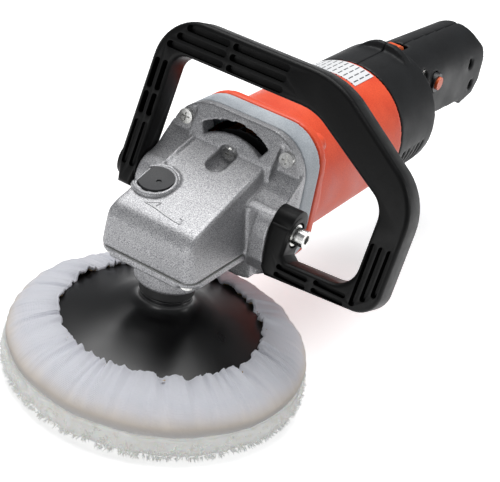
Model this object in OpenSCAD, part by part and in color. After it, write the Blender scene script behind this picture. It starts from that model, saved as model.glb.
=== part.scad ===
// Rotary polisher with a tied-on wool bonnet and a loop front handle.
// Millimetres. The origin is on the spindle axis at the bonnet's working face,
// +Z runs up the spindle and +Y runs back along the motor to the rear grip.

/* [Bonnet and backing pad] */
// Radius of the wool pile at its widest
wool_r = 99; // [92:1:112]
// Depth of the wool pile under the pad
wool_h = 17; // [12:1:24]
// Radius of the seam that joins the cloth skirt to the wool
seam_r = 95; // [90:1:98]
// Radius of the drawn-in opening of the skirt
hem_r = 66.7; // [58:0.1:72]
// Thickness of the bonnet's cloth
cloth_t = 1.6; // [1:0.1:2]
// Radius of the backing pad
pad_r = 88; // [82:1:90]
// Height of the backing pad from its flat face to the top of its neck
pad_h = 41.4; // [38:0.2:46]
// Radius of the pad's neck
neck_r = 16.5; // [15:0.5:19]

/* [Spindle and gears] */
// Radius of the spindle where the pad screws on (M14)
thread_r = 7; // [5:0.5:8]
// Number of teeth on the spindle's crown gear
gear_teeth = 37; // [33:2:39]
// Number of teeth on the motor's pinion
pinion_teeth = 9; // [9:1:11]
// Size of the teeth (module)
gear_module = 1.3; // [1.2:0.05:1.35]
// Width of the teeth along the pinion
tooth_w = 5; // [4:0.5:6]
// Radius of the lock pin under the button
lock_pin_r = 2.5; // [2:0.1:3]
// Travel of the spindle-lock button
lock_travel = 5; // [4:0.5:6]

/* [Gear head] */
// Half width of the gear head at its lower joint
head_half_w = 35; // [34:0.5:38]
// Distance from the spindle axis to the front of the gear head
head_front = 32; // [31:0.5:36]
// Height of the joint between gear head and bearing cover
joint_z = 90.5; // [88:0.5:92]
// Height of the motor axis
motor_z = 112; // [110:0.5:114]
// Thickness of the bearing cover's plate
cover_t = 5; // [4:0.5:7]
// Running clearance round shafts, as a radius
run_gap = 0.05; // [0.02:0.01:0.08]

/* [Motor housing and rear handle] */
// Distance from the spindle axis to the back of the gear head's flange
flange_back = 62; // [60:0.5:66]
// Length of the grey air ring behind the flange
ring_len = 18; // [14:1:24]
// Length of the orange motor housing
motor_len = 127; // [120:1:150]
// Radius of the motor housing
motor_r = 48; // [46:0.5:50]
// Wall of the motor housing and handle shells
shell_t = 3; // [2.5:0.1:4]
// Length of the wide front part of the rear handle
rear_len = 55; // [50:1:66]
// Length of the grip behind it
grip_len = 130; // [120:1:150]
// Half width of the grip
grip_half_w = 27; // [25:0.5:30]
// Travel of the trigger
trigger_travel = 6; // [4:0.5:7]

/* [Loop handle] */
// Height of the handle's pivot bolts
pivot_z = 115.5; // [113:0.5:117]
// Distance from the spindle axis back to the pivot bolts
pivot_y = 33; // [32:0.5:35]
// Distance from the centre plane to each handle boss
boss_x = 50; // [50:0.5:54]
// Lean of the handle from upright, in degrees
lean = 18; // [5:1:30]
// Depth of the handle's section, front to back
loop_d = 21; // [18:0.5:24]
// Thickness of the loop's arms
arm_t = 14.5; // [13:0.5:16]
// Distance from pivot to the top of the cross bar
loop_top = 99; // [96:1:120]
// Thickness of the cross bar
bar_t = 23.5; // [20:0.5:25]
// Distance from the centre plane to the outside of the right-hand grip
loop_right = 132; // [126:1:145]
// Radius of the handle bolts (M8)
bolt_r = 4; // [3:0.5:5]

/* [Hidden] */
$fn = 64;

// Heights on the spindle
cloth_z = wool_h;
pad_z = cloth_z + cloth_t;
pad_top = pad_z + pad_h;
ring_z = pad_top + 1.3;
// The pad's upper face is a cone, and the skirt's hem lies just above it
cone_r = pad_r - 8;
cone_z = pad_z + 14;
cone_top_r = neck_r + 16;
cone_top_z = pad_top - 11.5;
hem_z = cone_z + (cone_r - hem_r) * (cone_top_z - cone_z) / (cone_r - cone_top_r) + 3.35;
dust_h = 6.4;
boss_z = ring_z + dust_h + 0.3;
boss_r = 22;
plate_z = joint_z - cover_t;
bearing_r = 17.5;
bearing_h = 11;
bearing_z = boss_z + 3;
spindle_low_r = 7.5;
spindle_high_r = 5;
spindle_foot = pad_z + 20;
spindle_top = motor_z + 9;
bush_r = 8;
bush_h = 9;
bush_z = spindle_top - bush_h + 1;

// Gears: the pinion sits over the crown gear, its axis along +Y
gear_pitch_r = gear_teeth * gear_module / 2;
pinion_pitch_r = pinion_teeth * gear_module / 2;
tooth_up = 0.8 * gear_module;
tooth_down = 1.15 * gear_module;
tooth_t = 0.33 * PI * gear_module;
gear_out_r = gear_pitch_r + tooth_w / 2;
gear_in_r = gear_pitch_r - tooth_w / 2;
gear_tip_z = motor_z - pinion_pitch_r + tooth_up;
gear_root_z = motor_z - pinion_pitch_r - tooth_down;
web_t = 6;
web_z = gear_root_z - web_t;
chamber_r = gear_out_r + 1.5;
chamber_top = gear_tip_z + 1;
tunnel_r = pinion_pitch_r + tooth_up + 2;

// Spindle lock
// the pin's holes lie inside the ring of teeth
lock_x = lock_pin_r + 1.55 - gear_in_r;
cap_x = -20;
cap_r = 11.5;
cap_edge = -28;
cap_z = 122;
pin_foot = gear_root_z + 1.4;
lock_hole_r = lock_pin_r + 0.3;

// Gear head: the top slopes up towards the motor
top_slope = 15.2;
top_front_z = 120.3;
top_front_y = -head_front + 2;
side_draft = 9.3;
flange_rise = 27;
flange_half_x = 49;
flange_half_z = 51;
flange_corner = 28;
flange_front = 46;
head_back = flange_back - 4;
screw_off = 38;
ear_x = 31.5;
ear_z = 22;
screw_hole_r = 2.1;

// Stations along the motor
housing_y = flange_back + ring_len;
rear_y = housing_y + motor_len;
grip_y = rear_y + rear_len;
end_y = grip_y + grip_len;
bearing_y = flange_back - 22;
front_bearing_w = 8;
retainer_t = 3;
shaft_tip_y = gear_pitch_r - tooth_w / 2 - 2;
shaft_nose_r = 3;
shaft_front_r = 6;
shaft_mid_r = 5;
shaft_rear_r = 4;
fan_r = 37;
fan_y = flange_back + 2;
fan_w = 12;
stack_y = housing_y + 20;
stack_len = 50;
rotor_r = 22;
stator_in_r = 22.6;
stator_out_r = motor_r - shell_t - 3;
comm_y = stack_y + stack_len + 14;
comm_len = 18;
comm_r = 13;
rear_bearing_r = 11;
rear_bearing_w = 7;
rear_bearing_y = rear_y - 16;
shaft_end_y = rear_bearing_y + rear_bearing_w + 2;
brush_y = comm_y + comm_len / 2;

// Rear handle
top_drop = 8;
grip_fall = 3.5;
grip_top_z = motor_z + motor_r - 2;
grip_h = 56;
dial_r = 11;
dial_w = 9;
dial_y = grip_y + 4;
dial_z = grip_top_z - dial_r + 2.2;
trigger_y = grip_y + 26;
trigger_len = 56;
lock_on_y = grip_y + 36;
lock_on_z = grip_top_z - 27;
lock_on_r = 5;
grip_bottom = grip_top_z - grip_h;
rib_h = 5.5;
rib_r = 27;

gasket_t = 0.5;

// Loop handle, in its own plane: x across, s up from the pivot
arm_in = boss_x + 0.25;
arm_out = boss_x + arm_t;
end_r = loop_d / 2 + 1.1;
corner_r = 29;
loop_low = -28.5;
side_t = 19.5;
loop_front = loop_d / 2 + 1.5;
head_len = 7.5;
head_r = 5.7;
knuckle_s = 5;
// depth of the bolt seats, left and right
bolt_seat = [9.2, 2];
seat_r = 7.4;

// A rounded rectangle centred on the origin
module rounded(hx, hy, r) {
  square([2 * hx, 2 * (hy - r)], center = true);
  square([2 * (hx - r), 2 * hy], center = true);
  for (i = [-1, 1], j = [-1, 1]) translate([i * (hx - r), j * (hy - r)]) circle(r);
}

// Children drawn flat in x and z are extruded along +Y from y0
module along_y(y0, len) {
  translate([0, y0 + len, motor_z]) rotate([90, 0, 0]) linear_extrude(len) children();
}

// A cylinder along +Y on the motor axis
module rod_y(y0, len, r) {
  translate([0, y0, motor_z]) rotate([-90, 0, 0]) cylinder(h = len, r = r);
}

module tube_y(y0, len, r_out, r_in) {
  difference() {
    rod_y(y0, len, r_out);
    rod_y(y0 - 1, len + 2, r_in);
  }
}

module ring_z_at(z, h, r_out, r_in) {
  translate([0, 0, z]) difference() {
    cylinder(h = h, r = r_out);
    translate([0, 0, -1]) cylinder(h = h + 2, r = r_in);
  }
}

// Children are turned about the motor axis in steps
module around_motor(n) {
  for (i = [0:n - 1]) translate([0, 0, motor_z]) rotate([0, i * 360 / n, 0]) children();
}

// Ball bearing on +Z: two races and a ring of balls
module ball_bearing(r_in, r_out, w, balls) {
  mid = (r_in + r_out) / 2;
  ball_r = (r_out - r_in) * 0.27;
  race = (r_out - r_in) * 0.27;
  difference() {
    cylinder(h = w, r = r_out);
    translate([0, 0, -1]) cylinder(h = w + 2, r = r_out - race);
    translate([0, 0, w / 2]) rotate_extrude() translate([mid, 0]) circle(ball_r + 0.05, $fn = 32);
  }
  difference() {
    cylinder(h = w, r = r_in + race);
    translate([0, 0, -1]) cylinder(h = w + 2, r = r_in);
    translate([0, 0, w / 2]) rotate_extrude() translate([mid, 0]) circle(ball_r + 0.05, $fn = 32);
  }
  for (i = [0:balls - 1])
    rotate([0, 0, i * 360 / balls]) translate([mid, 0, w / 2]) sphere(ball_r, $fn = 32);
}

// Compression spring on +Z as a swept tube
function helix(i, steps, turns, r, h) =
  [r * cos(360 * turns * i / steps), r * sin(360 * turns * i / steps), h * i / steps];
module coil_spring(r, wire, h, turns) {
  sides = 6;
  steps = 11 * turns;
  pts = [for (i = [0:steps]) for (k = [0:sides - 1])
    let (a = 360 * turns * i / steps, b = 360 * k / sides)
    helix(i, steps, turns, r, h) + wire * [cos(a) * cos(b), sin(a) * cos(b), sin(b)]];
  polyhedron(pts, concat(
    [[for (k = [0:sides - 1]) k]],
    [for (i = [0:steps - 1]) for (k = [0:sides - 1])
      [i * sides + k, (i + 1) * sides + k, (i + 1) * sides + (k + 1) % sides, i * sides + (k + 1) % sides]],
    [[for (k = [sides - 1:-1:0]) steps * sides + k]]));
}

// Pan-head screw pointing along -Z from its head's underside
module pan_screw(shank_r, len, head_r, head_h) {
  difference() {
    cylinder(h = head_h, r = head_r);
    for (a = [0, 90]) rotate([0, 0, a]) translate([-head_r * 0.6, -0.5, head_h - 1.2]) cube([head_r * 1.2, 1, 3]);
  }
  translate([0, 0, -len]) cylinder(h = len, r = shank_r);
}

/* ---- Bonnet and pad ---- */
module wool_pile() color("ivory") rotate_extrude($fn = 96) polygon([
  [0, 0], [wool_r - 9, 0], [wool_r - 4, 1.5], [wool_r - 1, 5], [wool_r, 9],
  [wool_r - 1, 13], [wool_r - 3, cloth_z], [0, cloth_z]]);

// Outline of the skirt from the seam up to the opening, moved in by d
function skirt(d) = [
  [seam_r - d, cloth_z + cloth_t], [seam_r - 0.5 - d, cloth_z + 6], [seam_r - 4 - d, cloth_z + 13 - d * 0.6],
  [seam_r - 14 - d * 0.5, cloth_z + 19.5 - d], [hem_r, hem_z - d]];
module bonnet_skirt() color("aliceblue") union() {
  translate([0, 0, cloth_z]) cylinder(h = cloth_t, r = seam_r, $fn = 96);
  rotate_extrude($fn = 96) polygon(concat(skirt(0), [for (i = [4:-1:0]) skirt(cloth_t)[i]]));
}
module hem_cord() color("tan") translate([0, 0, hem_z - 0.8])
  rotate_extrude($fn = 96) translate([hem_r - 1.3, 0]) circle(1.1, $fn = 16);

module backing_pad() color([0.1, 0.1, 0.1]) difference() {
  rotate_extrude($fn = 96) polygon(concat(
    [[0, pad_z], [pad_r - 2, pad_z], [pad_r, pad_z + 2], [pad_r, pad_z + 6], [cone_r, cone_z]],
    [[cone_top_r, cone_top_z]],
    [for (a = [0:15:75]) [neck_r + 9 - 9 * sin(a), pad_top - 12 + 3 * sin(a) + 5.4 * (1 - cos(a))]],
    [[neck_r, pad_top - 2], [neck_r - 1, pad_top], [0, pad_top]]));
  translate([0, 0, spindle_foot - 6]) cylinder(h = 100, r = thread_r + 3);
  translate([0, 0, spindle_foot - 6]) cylinder(h = 12, r = 12.5);
}
module hub_nut() color("silver") difference() {
  union() {
    translate([0, 0, spindle_foot - 5]) cylinder(h = 10.5, r = 12.3);
    translate([0, 0, spindle_foot - 5]) cylinder(h = pad_top - spindle_foot + 5.2, r = thread_r + 2.8);
  }
  translate([0, 0, spindle_foot - 6]) cylinder(h = 60, r = thread_r + run_gap);
}

/* ---- Spindle group ---- */
module dust_ring() color([0.08, 0.08, 0.08]) ring_z_at(ring_z, dust_h, neck_r + 1.3, spindle_low_r + run_gap);
module spindle() color("silver") difference() {
  union() {
    translate([0, 0, spindle_foot]) cylinder(h = ring_z - spindle_foot, r = thread_r);
    translate([0, 0, ring_z]) cylinder(h = bearing_z + bearing_h - ring_z, r = spindle_low_r);
    translate([0, 0, bearing_z + bearing_h]) cylinder(h = web_z - bearing_z - bearing_h, r = spindle_low_r + 2.5);
    translate([0, 0, web_z]) cylinder(h = gear_root_z - web_z, r = spindle_low_r);
    translate([0, 0, gear_root_z]) cylinder(h = spindle_top - gear_root_z, r = spindle_high_r);
  }
  // spanner flats
  for (s = [-1, 1]) translate([s * (thread_r + 4.6), 0, pad_top + 0.7]) cube([10, 30, 1], center = true);
}
module crown_gear() color("dimgray") difference() {
  union() {
    translate([0, 0, web_z]) cylinder(h = web_t, r = gear_out_r);
    for (i = [0:gear_teeth - 1]) rotate([0, 0, 90 + (i + 0.5) * 360 / gear_teeth])
      translate([gear_in_r, -tooth_t / 2, gear_root_z - 0.5]) cube([tooth_w - 0.3, tooth_t, tooth_up + tooth_down + 0.5]);
  }
  translate([0, 0, web_z - 1]) cylinder(h = 60, r = spindle_low_r + 0.02);
  for (i = [0:5]) rotate([0, 0, i * 60]) translate([lock_x, 0, web_z - 1]) cylinder(h = web_t + 2, r = lock_hole_r);
}
module gear_circlip() color("gray") difference() {
  ring_z_at(gear_root_z + 0.1, 1.2, spindle_low_r + 2, spindle_high_r + 0.02);
  translate([0, spindle_low_r, gear_root_z]) cube([4, 2 * spindle_low_r, 4], center = true);
}
module lower_bearing() color("lightgray") translate([0, 0, bearing_z])
  ball_bearing(spindle_low_r + run_gap, bearing_r, bearing_h, 9);
module top_bush() color("goldenrod") ring_z_at(bush_z, bush_h, bush_r, spindle_high_r + run_gap);

/* ---- Gear head castings ---- */
module cover_plan(grow) translate([0, (flange_front - head_front) / 2 - 3])
  rounded(head_half_w + grow, (flange_front + head_front) / 2 - 3 + grow, 10 + grow);
screw_xy = [[head_half_w - 7, -head_front + 7], [-head_half_w + 7, -head_front + 7],
            [head_half_w - 7, flange_front - 15], [-head_half_w + 7, flange_front - 15]];
module bearing_cover() color("silver") difference() {
  union() {
    translate([0, 0, plate_z]) linear_extrude(cover_t) cover_plan(0);
    translate([0, 0, boss_z + 2]) cylinder(h = plate_z - boss_z - 1, r = boss_r);
    translate([0, 0, boss_z]) cylinder(h = 2, r1 = boss_r - 2, r2 = boss_r);
  }
  translate([0, 0, bearing_z]) cylinder(h = 40, r = bearing_r + 0.01);
  translate([0, 0, boss_z - 1]) cylinder(h = 40, r = spindle_low_r + 2);
  for (p = screw_xy) translate([p[0], p[1], plate_z - 1]) cylinder(h = 20, r = screw_hole_r);
  // open notches at the corners let the screw heads sit up inside the plate
  for (p = screw_xy) translate([p[0], p[1], plate_z - 1]) cylinder(h = 3.4, r = 4.6);
  for (s = [-1, 1]) translate([s * head_half_w, -head_front, plate_z])
    rotate([0, 0, 45]) cube([15, 15, 4.8], center = true);
}
module cover_screws() color("silver") for (p = screw_xy)
  translate([p[0], p[1], plate_z + 2.4]) rotate([180, 0, 0]) pan_screw(screw_hole_r - 0.1, 11, 4, 2.4);
module gasket() color("dimgray") translate([0, 0, joint_z]) difference() {
  linear_extrude(gasket_t) cover_plan(0);
  translate([0, 0, -1]) cylinder(h = 3, r = chamber_r);
  for (p = screw_xy) translate([p[0], p[1], -1]) cylinder(h = 3, r = screw_hole_r);
}

body_z = joint_z + gasket_t;
top_back_y = flange_front + 2;
top_back_z = top_front_z + (top_back_y - top_front_y) * tan(top_slope);
module head_block() intersection() {
  // side outline, drawn in y and z
  rotate([90, 0, 90]) translate([0, 0, -60]) linear_extrude(120) polygon([
    [-head_front, body_z], [-head_front - 1.2, top_front_z - 11], [-head_front - 0.7, top_front_z - 7],
    [-head_front + 1.4, top_front_z - 3], [-head_front + 4.2, top_front_z - 0.2],
    [top_front_y + 6, top_front_z + 6 * tan(top_slope)], [top_back_y, top_back_z], [head_back, top_back_z], [head_back, body_z]]);
  // drafted side walls, drawn in x and z
  translate([0, head_back, 0]) rotate([90, 0, 0]) linear_extrude(head_back + head_front + 4) polygon([
    [-head_half_w, body_z], [head_half_w, body_z],
    [head_half_w - 70 * tan(side_draft), body_z + 70], [-head_half_w + 70 * tan(side_draft), body_z + 70]]);
  translate([0, 0, body_z - 1]) linear_extrude(80) translate([0, (head_back - head_front) / 2])
    rounded(head_half_w + 0.01, (head_back + head_front) / 2 + 1.3, 10);
}
// Flange: a rounded square whose upper front is cut back on a slope
module flange_block() difference() {
  along_y(flange_front, flange_back - flange_front) rounded(flange_half_x, flange_half_z, flange_corner);
  translate([0, flange_front - 1.5, motor_z + 28]) rotate([-flange_rise, 0, 0])
    translate([-60, -40, -14]) cube([120, 40, 90]);
  // the ears for the screws are stepped back
  for (s = [-1, 1], t = [-1, 1]) translate([s * (ear_x + 15) - 15, flange_back - 68, motor_z + t * (ear_z + 20) - 20])
    cube([30, 60, 40]);
}
// The cap's upright outline, grown all round, cut into a slice that lies on the slope
module cap_slice(grow, low, thick) intersection() {
  translate([cap_x, 0, cap_z - 10]) difference() {
    cylinder(h = 40, r = cap_r + grow);
    translate([cap_edge - cap_x - 30 - grow, -30, -1]) cube([30, 60, 60]);
  }
  translate([cap_x, 0, cap_z]) rotate([top_slope, 0, 0]) translate([-30, -30, low]) cube([60, 60, thick]);
}
// Side bosses that carry the loop handle, with an S-shaped rib up to the flange
module boss_side() polygon(concat(
    [[flange_back - 12, motor_z - 28], [pivot_y + 8, motor_z - 31], [pivot_y, motor_z - 31], [pivot_y - 11, motor_z - 18]],
    [for (a = [180:-15:105]) [pivot_y + 3 + 15 * cos(a), pivot_z - 4 + 15 * sin(a)]],
    [for (a = [-75:15:-30]) [pivot_y + 3 + 20 * (cos(75) + cos(a)) - 12, pivot_z + 26 + 16 * sin(a)]],
    [[flange_back - 5, motor_z + 31], [flange_back - 5, motor_z - 30]]));
rib_x = 38.7;
module side_boss() for (s = [0, 1]) mirror([s, 0, 0]) difference() {
  union() {
    translate([rib_x, 0, 0]) rotate([90, 0, 90]) linear_extrude(boss_x - rib_x) boss_side();
    translate([head_half_w - 8, 0, 0]) rotate([90, 0, 90]) linear_extrude(rib_x - head_half_w + 8.1) intersection() {
      boss_side();
      translate([pivot_y - 6.5, motor_z - 60]) square([60, 120]);
    }
  }
  // lightening pocket behind the rib
  translate([boss_x - 7, 0, 0]) rotate([90, 0, 90]) linear_extrude(10) polygon([
    [pivot_y + 11, pivot_z + 14], [flange_back - 9, pivot_z + 20], [flange_back - 9, pivot_z - 8], [pivot_y + 17, pivot_z + 2]]);
}
module in_channel() translate([0, flange_back - 13, top_back_z - 1]) rotate([90 + top_slope, 0, 0]) children();
module gear_housing() color("silver") difference() {
  union() {
    head_block();
    flange_block();
    side_boss();
    // raised seat round the lock button
    intersection() {
      cap_slice(3, 0, 8);
      translate([-head_half_w + (cap_z - joint_z) * tan(side_draft), -40, 90]) cube([80, 80, 60]);
    }
  }
  // the ribs clear the bearing cover
  translate([0, 0, joint_z - 30]) linear_extrude(30 + gasket_t) cover_plan(0.2);
  // gear chamber, pinion tunnel, bearing seats and fan chamber
  translate([0, 0, joint_z - 1]) cylinder(h = chamber_top - joint_z + 1, r = chamber_r);
  translate([0, 0, joint_z]) cylinder(h = bush_z - joint_z, r = spindle_high_r + 3.5);
  translate([0, 0, bush_z]) cylinder(h = bush_h + 0.5, r = bush_r + 0.01);
  rod_y(shaft_tip_y - 2, bearing_y - shaft_tip_y, tunnel_r);
  rod_y(bearing_y - 12, 30, shaft_front_r + 2.5);
  rod_y(bearing_y, 30, 14.01);
  rod_y(bearing_y + front_bearing_w, retainer_t + 20, 19);
  rod_y(flange_back - 9, 20, fan_r + 3);
  // cooling-air slot in the sloped face
  translate([0, flange_front - 6, motor_z]) rotate([90, 0, 0]) rotate([0, 0, 58]) mirror([0, 0, 1])
    rotate_extrude(angle = 64) translate([39.4, 0]) square([7.2, 30]);
  // lock button: pocket for the cap, guide for the pin
  cap_slice(0.4, 0, 30);
  translate([lock_x, 0, chamber_top - 2]) cylinder(h = 40, r = lock_pin_r + run_gap);
  translate([lock_x, 0, chamber_top + 4]) cylinder(h = 40, r = lock_pin_r + 2.6);
  // screw holes
  for (p = screw_xy) translate([p[0], p[1], joint_z - 1]) cylinder(h = 10, r = screw_hole_r);
  for (s = [-1, 1], t = [-1, 1]) translate([s * screw_off, 0, motor_z + t * screw_off]) rotate([-90, 0, 0])
    cylinder(h = 100, r = screw_hole_r);
  // channel down the middle of the top for a screw
  in_channel() {
    cylinder(h = 16, r = 6.5);
    translate([0, 0, 16]) sphere(6.5);
    translate([0, 0, -11]) cylinder(h = 12, r = screw_hole_r);
  }
  for (s = [-1, 1]) translate([s * (boss_x + 0.01), pivot_y, pivot_z]) rotate([0, -s * 90, 0])
    cylinder(h = boss_x - tunnel_r - 22, r = bolt_r + run_gap);
}

/* ---- Spindle lock ---- */
module lock_button() color([0.12, 0.12, 0.13]) union() {
  difference() {
    cap_slice(0, lock_travel + 0.6, 3);
    translate([cap_x + 3.2, 0, cap_z]) rotate([top_slope, 0, 0]) translate([0, 0, lock_travel + 2.8]) cylinder(h = 2, r = 1.7);
  }
  translate([lock_x, 0, pin_foot]) cylinder(h = cap_z + lock_travel + 1.4 - pin_foot, r = lock_pin_r);
}
module lock_spring() color("silver") translate([lock_x, 0, chamber_top + 4.5])
  coil_spring(lock_pin_r + 1.2, 0.45, cap_z + lock_travel - 1.4 - chamber_top - 4.5, 5);

/* ---- Flange fasteners and front bearing ---- */
module flange_screws() color("silver") for (s = [-1, 1], t = [-1, 1])
  translate([s * screw_off, flange_back - 8, motor_z + t * screw_off]) rotate([90, 0, 0])
    pan_screw(screw_hole_r - 0.1, ring_len + 8 + 14, 5, 3);
module channel_screw() color("silver") in_channel() pan_screw(screw_hole_r - 0.1, 9, 4.4, 2.6);
module bearing_retainer() color("gray") difference() {
  tube_y(bearing_y + front_bearing_w, retainer_t, 18.8, shaft_front_r + 2);
  for (s = [-1, 1]) translate([s * 15.5, bearing_y, motor_z]) rotate([-90, 0, 0]) cylinder(h = 30, r = 1.6);
}
module front_bearing() color("lightgray") translate([0, bearing_y, motor_z]) rotate([-90, 0, 0])
  ball_bearing(shaft_front_r + run_gap, 14, front_bearing_w, 8);

/* ---- Air ring and motor housing ---- */
module air_ring() color("lightslategray") difference() {
  along_y(flange_back, ring_len) rounded(flange_half_x, flange_half_z, flange_corner);
  rod_y(flange_back - 1, ring_len + 2, fan_r + 3);
  rod_y(flange_back - 1, ring_len - 3, flange_half_x - 2.2);
  for (s = [-1, 1], t = [-1, 1]) translate([s * screw_off, 0, motor_z + t * screw_off]) rotate([-90, 0, 0])
    cylinder(h = 200, r = screw_hole_r);
}
module motor_housing() color("orangered") difference() {
  union() {
    along_y(housing_y, 8) rounded(flange_half_x, flange_half_z, flange_corner);
    rod_y(housing_y, motor_len, motor_r);
    for (s = [-1, 1], t = [-1, 1]) translate([s * screw_off * 0.93, housing_y, motor_z + t * screw_off * 0.93])
      rotate([-90, 0, 0]) cylinder(h = 16, r = 7);
    for (s = [-1, 1]) translate([s * (motor_r - 4), brush_y, motor_z]) rotate([0, s * 90, 0]) cylinder(h = 5.5, r = 10);
  }
  rod_y(housing_y - 1, comm_y - housing_y - 9, motor_r - shell_t);
  rod_y(housing_y - 1, motor_len - 18, motor_r - shell_t - 2.5);
  rod_y(rear_y - 40, 60, shaft_rear_r + 2);
  rod_y(rear_bearing_y - 1, 60, rear_bearing_r + 0.01);
  rod_y(rear_bearing_y + rear_bearing_w + 2, 60, motor_r - shell_t - 3);
  // windows let the air past the rear bearing spider
  around_motor(6) translate([0, rear_y - 30, 0]) rotate([-90, 0, 0]) translate([0, -26, 0]) cylinder(h = 40, r = 8);
  for (s = [-1, 1], t = [-1, 1]) translate([s * screw_off, housing_y - 1, motor_z + t * screw_off])
    rotate([-90, 0, 0]) cylinder(h = 15, r = screw_hole_r);
  for (s = [-1, 1]) translate([s * 20, brush_y, motor_z]) rotate([0, s * 90, 0]) cylinder(h = 60, r = 7.51);
}
module rating_label() color("white") translate([0, rear_y - 31, motor_z]) rotate([-90, 0, 0]) rotate([0, 0, -130])
  rotate_extrude(angle = 60) translate([motor_r + 0.02, 0]) square([0.5, 27]);

/* ---- Motor ---- */
module stator_core() color("dimgray") difference() {
  rod_y(stack_y, stack_len, stator_out_r);
  rod_y(stack_y - 1, stack_len + 2, stator_in_r);
  for (s = [-1, 1]) translate([s * (stator_in_r + 6), stack_y - 1, motor_z - 17]) cube([9, stack_len + 2, 34]);
  for (s = [-1, 1]) translate([s * (stator_in_r + 6) - 9 + (s + 1) * 4.5, stack_y - 1, motor_z - 14]) cube([9, stack_len + 2, 28]);
}
module field_coils() color("darkgoldenrod") for (s = [-1, 1], e = [0, 1])
  translate([0, stack_y - 11 + e * (stack_len + 12), motor_z]) rotate([-90, 0, 0])
    rotate([0, 0, s * 90 - 55]) rotate_extrude(angle = 110) translate([26, 0]) square([9, 10]);
module armature_shaft() color("silver") union() {
  rod_y(shaft_tip_y, bearing_y - 2 - shaft_tip_y, shaft_nose_r);
  rod_y(bearing_y - 2, fan_y - bearing_y + 2, shaft_front_r);
  rod_y(fan_y, comm_y + comm_len - fan_y, shaft_mid_r);
  rod_y(comm_y + comm_len, shaft_end_y - comm_y - comm_len, shaft_rear_r);
}
function pinion_outline() = [for (i = [0:pinion_teeth - 1])
  for (p = [[-tooth_t * 0.62, -tooth_down], [-tooth_t * 0.3, tooth_up], [tooth_t * 0.3, tooth_up], [tooth_t * 0.62, -tooth_down]])
    let (a = -90 + i * 360 / pinion_teeth, r = pinion_pitch_r + p[1])
      [r * cos(a) - p[0] * sin(a), r * sin(a) + p[0] * cos(a)]];
module pinion() color("gray") difference() {
  along_y(gear_in_r, tooth_w) polygon(pinion_outline());
  rod_y(gear_in_r - 1, tooth_w + 2, shaft_nose_r + 0.02);
}
module fan() color("ivory") union() {
  tube_y(fan_y, 2, fan_r, shaft_mid_r + 0.02);
  tube_y(fan_y, fan_w, 12, shaft_mid_r + 0.02);
  around_motor(14) translate([11, fan_y, -0.8]) cube([fan_r - 12, fan_w, 1.6]);
}
module armature_core() color("gray") difference() {
  tube_y(stack_y, stack_len, rotor_r, shaft_mid_r + 0.02);
  around_motor(12) translate([rotor_r - 5, stack_y - 1, -0.9]) cube([6, stack_len + 2, 1.8]);
}
module armature_windings() color("peru") for (y = [stack_y - 9.1, stack_y + stack_len + 0.1])
  tube_y(y, 9, rotor_r - 3, shaft_mid_r + 0.02);
module commutator() color("chocolate") difference() {
  tube_y(comm_y, comm_len - 0.1, comm_r, shaft_mid_r + 0.02);
  around_motor(24) translate([comm_r - 1, comm_y - 1, -0.25]) cube([2, comm_len + 2, 0.5]);
}
module rear_bearing() color("lightgray") translate([0, rear_bearing_y, motor_z]) rotate([-90, 0, 0])
  ball_bearing(shaft_rear_r + run_gap, rear_bearing_r, rear_bearing_w, 7);
module brush_holders() color("goldenrod") for (s = [-1, 1]) translate([s * (comm_r + 3), brush_y, motor_z])
  rotate([0, s * 90, 0]) difference() {
    cylinder(h = motor_r - comm_r - 9, r = 7.4);
    translate([-4, -3, -1]) cube([8, 6, 60]);
  }
module carbon_brushes() color([0.2, 0.2, 0.2]) for (s = [-1, 1]) translate([s * (comm_r + 10.3), brush_y, motor_z])
  cube([20, 5.8, 7.8], center = true);
module brush_caps() color([0.1, 0.1, 0.1]) for (s = [-1, 1]) translate([s * (motor_r - 5.6), brush_y, motor_z])
  rotate([0, s * 90, 0]) difference() {
    cylinder(h = 6.6, r = 7.3);
    translate([0, 0, 6]) cube([10, 1.6, 3], center = true);
  }

/* ---- Rear handle, two shells joined on the centre plane ---- */
// Solid outline of the handle, shrunk by d for the hollow inside
module rear_solid(d) {
  rod_y(rear_y + (d > 0 ? -1 : 0.2), rear_len - d + (d > 0 ? 1 : -0.2), motor_r - d);
  intersection() {
    // side outline of the grip in y and z: the top falls gently to the rear
    rotate([90, 0, 90]) translate([0, 0, -60]) linear_extrude(120) polygon([
      [grip_y - 10, grip_top_z + 5], [end_y - 14, grip_top_z + 5], [end_y - 5 - d, grip_top_z - top_drop - 8 - d],
      [end_y - d, grip_top_z - top_drop - 14], [end_y - d, grip_bottom + 14 - top_drop], [end_y - 8 - d, grip_bottom - top_drop + 4 + d],
      [end_y - 30, grip_bottom - top_drop + d], [trigger_y + trigger_len + 14, grip_bottom + d - 4], [trigger_y + 10, grip_bottom + d],
      [grip_y, grip_bottom - 10 + d], [grip_y - 10, grip_bottom - 14 + d]]);
    translate([0, grip_y - 12, grip_top_z - grip_half_w + 1]) rotate([-grip_fall, 0, 0]) rotate([-90, 0, 0])
      linear_extrude(grip_len + 30) union() {
        circle(grip_half_w - d);
        translate([-grip_half_w + d, 0]) square([2 * (grip_half_w - d), 60]);
      }
  }
}
shell_screw_yz = [[rear_y + 22, motor_z - 30], [end_y - 26, grip_top_z - 30],
                  [end_y - 16, grip_bottom + 6], [grip_y + 18, grip_top_z - 18]];
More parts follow.
